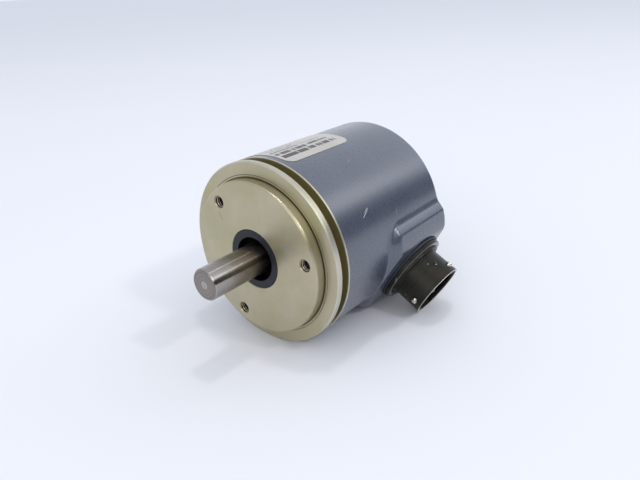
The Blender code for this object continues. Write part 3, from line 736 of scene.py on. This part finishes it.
def make_shaft(finish):
    """Shaft with a chamfered, lightly centred end, a thicker middle and a circlip groove."""
    tip = SHAFT_TIP
    back = SHAFT_HIGH.y - AXIS.y
    outline = [
        (0, tip + 0.03 * MM, 0),
        (1.1 * MM, tip + 0.03 * MM, 0.05 * MM),
        (1.3 * MM, tip, 0.05 * MM),
        (SHAFT_R - 0.45 * MM, tip, 0.06 * MM),
        (SHAFT_R, tip + 0.55 * MM, 0.1 * MM),
        (SHAFT_R, 11.0 * MM, 0),
        (6.2 * MM, 11.0 * MM, 0.2 * MM),
        (6.2 * MM, 21.0 * MM, 0.2 * MM),
        (SHAFT_R, 21.0 * MM, 0),
        (SHAFT_R, 27.2 * MM, 0),
        (SHAFT_R - 0.4 * MM, 27.2 * MM, 0),
        (SHAFT_R - 0.4 * MM, 28.2 * MM, 0),
        (SHAFT_R, 28.2 * MM, 0),
        (SHAFT_R, back, 0.4 * MM),
        (0, back, 0),
    ]
    shaft = turned("shaft_turned", rounded(outline), 128, finish, SHAFT)
    show(flatten_shading(shaft), "rotor", "shaft")


def make_seal(finish):
    """Seal ring with a flat face and a recess whose lip stays just off the shaft."""
    outline = [
        (SEAL_MOUTH_R, 0.07 * MM, 0.2 * MM),
        (SEAL_R - 0.05 * MM, 0.07 * MM, 0.12 * MM),
        (SEAL_R - 0.05 * MM, SEAL_DEPTH, 0.1 * MM),
        (SHAFT_R + 0.1 * MM, SEAL_DEPTH, 0),
        (SHAFT_R + 0.1 * MM, SEAL_DEPTH - 0.25 * MM, 0.05 * MM),
        (SHAFT_R + 0.5 * MM, SEAL_DEPTH - 0.7 * MM, 0.1 * MM),
        (SEAL_MOUTH_R - 0.05 * MM, SEAL_DEPTH - 0.5 * MM, 0.2 * MM),
    ]
    seal = turned("seal_ring", rounded(outline, 4), 128, finish, SHAFT)
    show(flatten_shading(seal), "housing", "shaft_seal")


def saddle_polar():
    """The saddle's half profile as (angle from the receptacle's direction, radius from the shaft axis)."""
    bend, sweep = 5.6 * MM, 17.0 * MM
    shoulder = 30
    lean = math.radians(shoulder)
    centre = (SADDLE_TOP - bend, 11.4 * MM)
    outer = (centre[0] - (sweep - bend) * math.cos(lean), centre[1] - (sweep - bend) * math.sin(lean))
    flat = [(SADDLE_TOP, side * MM) for side in range(11)]
    curve = arc(centre, bend, 0, shoulder, 8) + arc(outer, sweep, shoulder + 1, 43, 7)
    wall = [(26.2 * MM, 18.4 * MM, 2.0 * MM), (23.3 * MM, 19.5 * MM, 0), (20.2 * MM, 20.9 * MM, 0)]
    line = rounded([(height, side, 0) for height, side in flat + curve] + wall, 5)
    return [math.atan2(side, height) for height, side in line], [math.hypot(*point) for point in line]


def soft_max(a, b, blend):
    """The larger of two, with a fillet of about that size where they cross."""
    t = np.clip(0.5 + 0.5 * (a - b) / blend, 0, 1)
    return b * (1 - t) + a * t + blend * t * (1 - t)


def soft_min(a, b, blend):
    """The smaller of two, with the same kind of fillet."""
    return -soft_max(-a, -b, blend)


SADDLE_LINE = saddle_polar()


def cover_radius(angle, y):
    """Outer radius of the cover: a cylinder that grows into the saddle, with a rounded back edge.

    The saddle starts with a ramp at 45 degrees, whose foot runs round two corners in plan.
    """
    turn = (angle + TILT + math.pi) % TURN - math.pi
    top = np.interp(abs(turn), *SADDLE_LINE, right=26.0 * MM)
    across = abs(COVER_R * math.sin(turn)) if abs(turn) < math.pi / 2 else COVER_R
    front, corner, half_width = 29.7 * MM, 8.0 * MM, 20.6 * MM
    past = np.clip(across - (half_width - corner), 0, corner)
    foot = front + corner - math.sqrt(corner**2 - past**2)
    ramp = COVER_R - 0.3 * MM + (y - foot)
    saddle = soft_min(top, ramp, 1.0 * MM)
    radius = soft_max(COVER_R, saddle, 0.4 * MM)
    over = np.clip((y - (COVER_BACK - COVER_EDGE)) / COVER_EDGE, 0, 1)
    return radius - COVER_EDGE * (1 - math.sqrt(max(0.0, 1 - over**2)))


def cover_skin():
    """Mesh of the painted cup: one grid outside that carries the saddle, one plain grid inside."""
    coarse = [math.radians(a) for a in range(50, 311, 2)]
    dense = [math.radians(a / 2) for a in range(-99, 100)]
    angles = [a - TILT for a in dense + coarse]
    depths = [COVER_FRONT, COVER_FRONT + 0.12 * MM]
    depths += list(np.linspace(14, 26, 4) * MM)
    depths += list(np.linspace(27.5, 42, 59) * MM)
    depths += list(np.linspace(44, 60, 9) * MM)
    depths += [COVER_BACK - COVER_EDGE * (1 - math.sin(math.radians(a))) for a in range(0, 91, 15)]
    bm = bmesh.new()
    rings = []
    for y in depths:
        ease = 0.12 * MM if y == COVER_FRONT else 0.0
        rings.append([bm.verts.new(polar(cover_radius(a, y) - ease, a, y)) for a in angles])
    edge = [v.co.copy() for v in rings[-1]]
    for share in (0.97, 0.9, 0.6, 0.3):
        rings.append([bm.verts.new((co.x * share, co.y, co.z * share)) for co in edge])
    back = bm.verts.new((0, COVER_BACK, 0))
    inner_back = COVER_BACK - 2.5 * MM
    inner = [[bm.verts.new(polar(COVER_BORE_R, a, y)) for a in angles] for y in (COVER_FRONT, inner_back)]
    bottom = bm.verts.new((0, inner_back, 0))
    count = len(angles)
    for near, far in list(zip(rings, rings[1:])) + [(inner[1], inner[0]), (inner[0], rings[0])]:
        for i in range(count):
            j = (i + 1) % count
            bm.faces.new((near[i], near[j], far[j], far[i]))
    for i in range(count):
        j = (i + 1) % count
        bm.faces.new((rings[-1][i], rings[-1][j], back))
        bm.faces.new((inner[1][j], inner[1][i], bottom))
    return bm


def make_cover(finish):
    """The painted cup, with the receptacle's port and three countersunk screw holes."""
    cover = mesh_object("cover_painted", cover_skin(), finish, SHAFT)
    cutters = [prism("port", circle(9.5 * MM, 64), 15 * MM, 36 * MM, finish, PORT)]
    hole = [(0, -6), (1.7, -6), (1.7, -1.35), (3.05, 0), (4.05, 1), (0, 1)]
    hole = [(r * MM, y * MM) for r, y in hole]
    for i, angle in enumerate(SCREW_TURNS):
        spot = on_shaft(SCREW_CIRCLE_R, math.radians(angle), COVER_BACK)
        cutters.append(turned(f"hole_{i}", hole, 48, finish, spot))
    carve(cover, cutters, 35)
    show(flatten_shading(cover), "housing", "cover")


def join_sheets(bm, below, above):
    """Faces of a thin plate between two grids of vertices, with its four edges closed."""
    rows, columns = len(below) - 1, len(below[0]) - 1
    for i in range(rows):
        for j in range(columns):
            bm.faces.new((above[i][j], above[i][j + 1], above[i + 1][j + 1], above[i + 1][j]))
            bm.faces.new((below[i][j], below[i + 1][j], below[i + 1][j + 1], below[i][j + 1]))
        for j in (0, columns):
            bm.faces.new((below[i][j], below[i + 1][j], above[i + 1][j], above[i][j]))
    for j in range(columns):
        for i in (0, rows):
            bm.faces.new((below[i][j], below[i][j + 1], above[i][j + 1], above[i][j]))


def make_label():
    """Label film wrapped on the cover, with round corners and its own flat coordinates for the print."""
    low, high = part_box("label")
    length = (high.y - low.y) / 2
    middle_y = (high.y + low.y) / 2 - AXIS.y
    start, end = math.radians(75), math.radians(127)
    half = (end - start) / 2 * COVER_R
    corner = 3.0 * MM
    lower, upper = COVER_R + 0.04 * MM, COVER_R + 0.14 * MM
    rows, columns = 48, 40
    bm = bmesh.new()
    layer = bm.loops.layers.uv.new("label")
    flat = {}
    sheets = []
    heights = [-math.cos(math.pi * i / rows) * half for i in range(rows + 1)]
    for radius, trim in ((lower, 0.0), (upper, 0.03 * MM)):
        sheet = []
        for v in heights:
            v = v * (1 - trim / half)
            past = max(0.0, abs(v) - (half - corner))
            reach = length - trim - corner + math.sqrt(max(0.0, corner**2 - past**2))
            line = []
            for j in range(columns + 1):
                u = reach * (2 * j / columns - 1)
                angle = (start + end) / 2 + v / COVER_R
                vert = bm.verts.new(polar(radius, angle, middle_y + u))
                flat[vert] = (u + length, v + half)
                line.append(vert)
            sheet.append(line)
        sheets.append(sheet)
    join_sheets(bm, *sheets)
    for face in bm.faces:
        for loop in face.loops:
            loop[layer].uv = flat[loop.vert]
    label = mesh_object("label_film", bm, label_film(), SHAFT)
    show(label, "housing", "label")


def shell_outline(plate):
    """The receptacle's thread, plate, shoulder, barrel and rim; plate is the underside of the plate."""
    fine = 0.1 * MM
    base = SHELL_RIM - 22.8 * MM
    return [
        (SHELL_BORE_R, base, 0),
        (THREAD_R, base, 0.2 * MM),
        (THREAD_R, plate, 0),
        (12.8 * MM, plate, fine),
        (12.8 * MM, PLATE_FACE, 0.25 * MM),
        (PLATE_R, PLATE_FACE, 0),
        (11.2 * MM, PLATE_FACE - 0.2 * MM, 0),
        (11.0 * MM, PLATE_FACE - 0.2 * MM, 0),
        (10.9 * MM, 33.2 * MM, 0.15 * MM),
        (9.75 * MM, 33.2 * MM, fine),
        (9.6 * MM, 33.6 * MM, fine),
        (9.6 * MM, SHELL_RIM - 2.0 * MM, 0),
        (SHELL_R - 0.01 * MM, SHELL_RIM - 0.9 * MM, fine),
        (SHELL_R - 0.01 * MM, SHELL_RIM, 0.15 * MM),
        (SHELL_R - 0.6 * MM, SHELL_RIM, fine),
        (SHELL_BORE_R, SHELL_RIM - 0.9 * MM, fine),
    ]


def make_shell(plate, finish, stud_finish):
    """Olive shell with one wide and four narrow keyways inside and three bayonet studs outside."""
    shell = turned("receptacle_shell", rounded(shell_outline(plate)), 160, finish, PORT)
    cutters = []
    for i, (angle, wide) in enumerate(((90, 1.5), (195, 1.0), (255, 1.0), (285, 1.0), (345, 1.0))):
        way = [(7.5, -wide), (9.0, -wide), (9.0, wide), (7.5, wide)]
        way = [(x * MM, z * MM) for x, z in way]
        turn = Matrix.Rotation(-math.radians(angle), 4, "Y")
        cutters.append(prism(f"key_{i}", way, 35 * MM, 45 * MM, finish, PORT @ turn))
    stud = [
        (0, 8.6, 0),
        (1.0, 8.6, 0),
        (1.0, 10.1, 0),
        (0.85, 10.4, 0.1),
        (0.45, 10.6, 0.2),
        (0, 10.6, 0),
    ]
    profile = rounded([(r * MM, y * MM, c * MM) for r, y, c in stud])
    point_out = Matrix.Rotation(math.radians(-90), 4, "Z")
    for i in range(3):
        turn = Matrix.Rotation(math.radians(12 - 120 * i), 4, "Y")
        spot = PORT @ Matrix.Translation((0, STUD_HEIGHT, 0)) @ turn @ point_out
        cutters.append(prism(f"way_{i}", circle(1.08 * MM, 32), 8 * MM, 11 * MM, finish, spot))
        pin = turned(f"bayonet_stud_{i + 1}", profile, 40, stud_finish, spot)
        show(pin, "housing", f"bayonet_pin_{i + 1}")
    carve(shell, cutters, 30)
    show(flatten_shading(shell), "housing", "connector_shell")


def make_gasket(plate, finish):
    """Flat rubber ring between the saddle and the plate."""
    outline = [
        (THREAD_R + 0.1 * MM, SADDLE_TOP + THIN, 0),
        (13.4 * MM, SADDLE_TOP + THIN, 0.15 * MM),
        (13.4 * MM, plate - THIN, 0.15 * MM),
        (THREAD_R + 0.1 * MM, plate - THIN, 0),
    ]
    ring = turned("receptacle_gasket", rounded(outline), 128, finish, PORT)
    show(flatten_shading(ring), "housing", "connector_gasket")


def make_insert(finish, gold):
    """Dark insert with eight contacts in a circle and two inside it, each in a countersunk way."""
    wall = SHELL_BORE_R - 0.1 * MM
    core = [
        (0, INSERT_BACK, 0),
        (wall, INSERT_BACK, 0.2 * MM),
        (wall, INSERT_FACE - 0.6 * MM, 0),
        (SHELL_BORE_R - 0.7 * MM, INSERT_FACE, 0.2 * MM),
        (0, INSERT_FACE, 0),
    ]
    insert = turned("receptacle_insert", rounded(core), 96, finish, PORT)
    spots = [polar(5.2 * MM, TURN * (i + 0.5) / 8) for i in range(8)]
    spots += [polar(1.7 * MM, TURN * i / 2) for i in range(2)]
    contact = [
        (0, INSERT_BACK + 0.1 * MM, 0),
        (0.5 * MM, INSERT_BACK + 0.1 * MM, 0),
        (0.5 * MM, 38.5 * MM, 0.45 * MM),
        (0, 38.5 * MM, 0),
    ]
    way = [
        (0, INSERT_BACK - MM),
        (0.58 * MM, INSERT_BACK - MM),
        (0.58 * MM, INSERT_FACE - 0.35 * MM),
        (1.05 * MM, INSERT_FACE + 0.2 * MM),
        (0, INSERT_FACE + 0.2 * MM),
    ]
    ways = []
    for i, spot in enumerate(spots):
        there = PORT @ Matrix.Translation(spot)
        pin = turned(f"contact_{i + 1}", rounded(contact, 5), 24, gold, there)
        show(pin, "housing", f"contact_pin_{i + 1}")
        ways.append(turned(f"contact_way_{i}", way, 24, finish, there))
    carve(insert, ways, 30)
    show(flatten_shading(insert), "housing", "connector_insert")


def make_receptacle(olive, rubber_finish, insert_finish, stud_finish, gold):
    plate = SADDLE_TOP + 0.8 * MM
    make_shell(plate, olive, stud_finish)
    make_gasket(plate, rubber_finish)
    make_insert(insert_finish, gold)


def make_cover_screws(finish):
    """Countersunk screws with a hexagon socket."""
    outline = [
        (0, -8.05, 0),
        (1.4, -8.05, 0.2),
        (1.4, -1.6, 0),
        (2.8, -0.2, 0.05),
        (2.8, -0.06, 0.05),
        (0, -0.06, 0),
    ]
    profile = rounded([(r * MM, y * MM, c * MM) for r, y, c in outline])
    for i, angle in enumerate(SCREW_TURNS):
        spot = on_shaft(SCREW_CIRCLE_R, math.radians(angle), COVER_BACK)
        screw = turned(f"end_screw_{i + 1}", profile, 48, finish, spot)
        turn = Matrix.Rotation(math.radians(20 + 35 * i), 4, "Y")
        socket = prism(f"socket_{i}", circle(1.15 * MM, 6), -1.25 * MM, 1 * MM, finish, spot @ turn)
        carve(screw, [socket], 30)
        show(flatten_shading(screw), "housing", f"cover_screw_{i + 1}")


def finish_inner_nodes(groups):
    """Gives a finish to the CAD nodes that stay as they are."""
    for nodes, finish in groups:
        for name in nodes:
            data = frame["nodes"][name].data
            data.materials.clear()
            data.materials.append(finish)
            data.shade_smooth()
            data.set_sharp_from_angle(angle=math.radians(35))


def build_object():
    zinc = metal("zinc_plate", (0.56, 0.57, 0.58), (0.66, 0.65, 0.62), 0.34)
    stud = metal("bare_stud", (0.70, 0.66, 0.60), (0.55, 0.50, 0.44), 0.30)
    bearing = metal("bearing_steel", (0.58, 0.58, 0.59), (0.63, 0.63, 0.63), 0.16, depth=0.001)
    spring = metal("spring_steel", (0.10, 0.10, 0.11), (0.16, 0.15, 0.15), 0.38)
    brass = metal("brass", (0.62, 0.45, 0.20), (0.68, 0.52, 0.27), 0.28)
    gold = metal("gold_contact", (0.75, 0.55, 0.24), (0.80, 0.62, 0.32), 0.24)
    can = metal("capacitor_can", (0.50, 0.51, 0.53), (0.56, 0.57, 0.58), 0.28)
    black = rubber("black_rubber", (0.020, 0.022, 0.030))
    moulding = rubber("dark_insert", (0.022, 0.022, 0.022))
    nylon = plastic("connector_nylon", (0.70, 0.68, 0.60), (0.75, 0.73, 0.66), 0.45)
    dark = plastic("black_plastic", (0.025, 0.025, 0.027), (0.035, 0.035, 0.038), 0.48)
    board = plastic("board", (0.02, 0.13, 0.055), (0.03, 0.17, 0.07), 0.38, scale=0.3)
    jacket = plastic("wire_jacket", (0.50, 0.50, 0.47), (0.58, 0.57, 0.54), 0.52)
    lens = plastic("clear_lens", (0.55, 0.60, 0.70), (0.60, 0.66, 0.75), 0.12)

    make_flange(chromated_aluminium())
    make_shaft(ground_steel())
    make_seal(seal_rubber())
    make_cover(grey_paint())
    make_label()
    make_receptacle(olive_plating(), black, moulding, stud, gold)
    make_cover_screws(zinc)

    inner = (
        (["front_bearing_outer_ring", "front_bearing_inner_ring", "front_bearing_ball_cage"], bearing),
        (["rear_bearing_outer_ring", "rear_bearing_inner_ring", "rear_bearing_ball_cage"], bearing),
        (["bearing_spacer", "hub_set_screw", "connector_nut"], zinc),
        ([f"{kind}_spacer_{i}" for kind in ("board", "cover") for i in (1, 2, 3)], zinc),
        (["shaft_circlip", "housing_circlip", "wave_washer"], spring),
        (["disc_hub", "disc_clamp_ring"], brass),
        (["code_disc", "reticle"], disc_glass()),
        (["cover_o_ring"], black),
        (["led_holder", "light_sensor", "driver_chip"], dark),
        (["led"], lens),
        (["main_board"], board),
        (["board_header", "header_plug"], nylon),
        (["capacitor_1", "capacitor_2"], can),
        (["wire_bundle"], jacket),
    )
    finish_inner_nodes(inner)


# --- stage ----------------------------------------------------------------------------------------


def make_floor():
    """A wide, pale sheet; its far edge is out of sight."""
    n = Nodes("pale_floor")
    n.set(Base_Color=n.mix(n.noise(0.004, 2, 0.5), (0.80, 0.81, 0.84), (0.82, 0.83, 0.86)))
    n.set(Roughness=0.8, Specular_IOR_Level=0.1)
    bm = bmesh.new()
    bmesh.ops.create_grid(bm, x_segments=24, y_segments=24, size=12.0)
    floor = mesh_object("floor", bm, n.material, Matrix())


def softbox(name, towards, distance, width, height, power, tone):
    """A flat lamp in that direction from the object, facing it."""
    data = bpy.data.lights.new(name, "AREA")
    data.shape = "RECTANGLE"
    data.size, data.size_y = width, height
    data.energy = power
    data.color = tone
    light = bpy.data.objects.new(name, data)
    bpy.context.scene.collection.objects.link(light)
    light.location = Vector((0, 0, 0.03)) + Vector(towards).normalized() * distance
    light.rotation_euler = Vector(towards).to_track_quat("Z", "Y").to_euler()


def remap(tree, value, kind, low, high, to_low, to_high):
    """Maps a value from one span to another in a node tree."""
    node = tree.nodes.new("ShaderNodeMapRange")
    node.interpolation_type = kind
    for socket, number in zip(node.inputs[1:5], (low, high, to_low, to_high)):
        socket.default_value = number
    tree.links.new(value, node.inputs[0])
    return node.outputs[0]


def make_sky():
    """A light tent that is open to the right: one bright half of the sky, tilted to the left.

    The camera itself sees a plain, pale wall all the way round.
    """
    world = bpy.data.worlds.new("studio")
    world.use_nodes = True
    tree = world.node_tree
    place = tree.nodes.new("ShaderNodeTexCoord")
    facing = tree.nodes.new("ShaderNodeVectorMath")
    facing.operation = "DOT_PRODUCT"
    facing.inputs[1].default_value = (-0.57, 0.0, 0.82)
    tree.links.new(place.outputs["Generated"], facing.inputs[0])
    edge = remap(tree, facing.outputs["Value"], "SMOOTHSTEP", -0.13, 0.06, 0.07, 1.35)
    fade = remap(tree, facing.outputs["Value"], "LINEAR", 0.10, 0.85, 1.0, 0.62)
    strength = tree.nodes.new("ShaderNodeMath")
    strength.operation = "MULTIPLY"
    tree.links.new(edge, strength.inputs[0])
    tree.links.new(fade, strength.inputs[1])
    ray = tree.nodes.new("ShaderNodeLightPath")
    wall = tree.nodes.new("ShaderNodeMix")
    wall.inputs["B"].default_value = 1.0
    tree.links.new(ray.outputs["Is Camera Ray"], wall.inputs["Factor"])
    tree.links.new(strength.outputs[0], wall.inputs["A"])
    shade = tree.nodes["Background"]
    shade.inputs["Color"].default_value = (0.87, 0.91, 1.0, 1)
    tree.links.new(wall.outputs[0], shade.inputs["Strength"])
    bpy.context.scene.world = world


def make_lights():
    """Small hard lamps above and to the side, a soft one behind, a large one in front, and the sky."""
    softbox("key", (0.06, 0.13, 0.99), 1.2, 0.10, 0.10, 1.6, (1.0, 0.98, 0.95))
    softbox("window", (0.46, 0.71, 0.53), 1.6, 0.34, 0.45, 0.7, (0.95, 0.97, 1.0))
    softbox("side", (0.72, 0.07, 0.69), 1.2, 0.09, 0.09, 1.9, (1.0, 1.0, 1.0))
    softbox("fill", (0.4, -1.0, 0.55), 1.8, 1.2, 0.8, 5.0, (1.0, 0.98, 0.95))
    make_sky()


def make_camera():
    """Camera in front, 24 degrees down and 40 degrees round to the right of the shaft's end."""
    right = Vector((0.7735, 0.6319, -0.0484))
    up = Vector((-0.2269, 0.3474, 0.9099))
    back = Vector((0.5918, -0.6928, 0.4121))
    data = bpy.data.cameras.new("camera")
    data.sensor_width = 36.0
    data.lens = 32.53
    data.clip_start = 0.01
    camera = bpy.data.objects.new("camera", data)
    bpy.context.scene.collection.objects.link(camera)
    turn = Matrix((right, up, back)).transposed().to_4x4()
    camera.matrix_world = Matrix.Translation(AXIS + Vector((0.1198, -0.1086, 0.0779))) @ turn
    bpy.context.scene.camera = camera


make_camera()
make_floor()
make_lights()
build_object()
bpy.context.scene.view_settings.view_transform = "Standard"
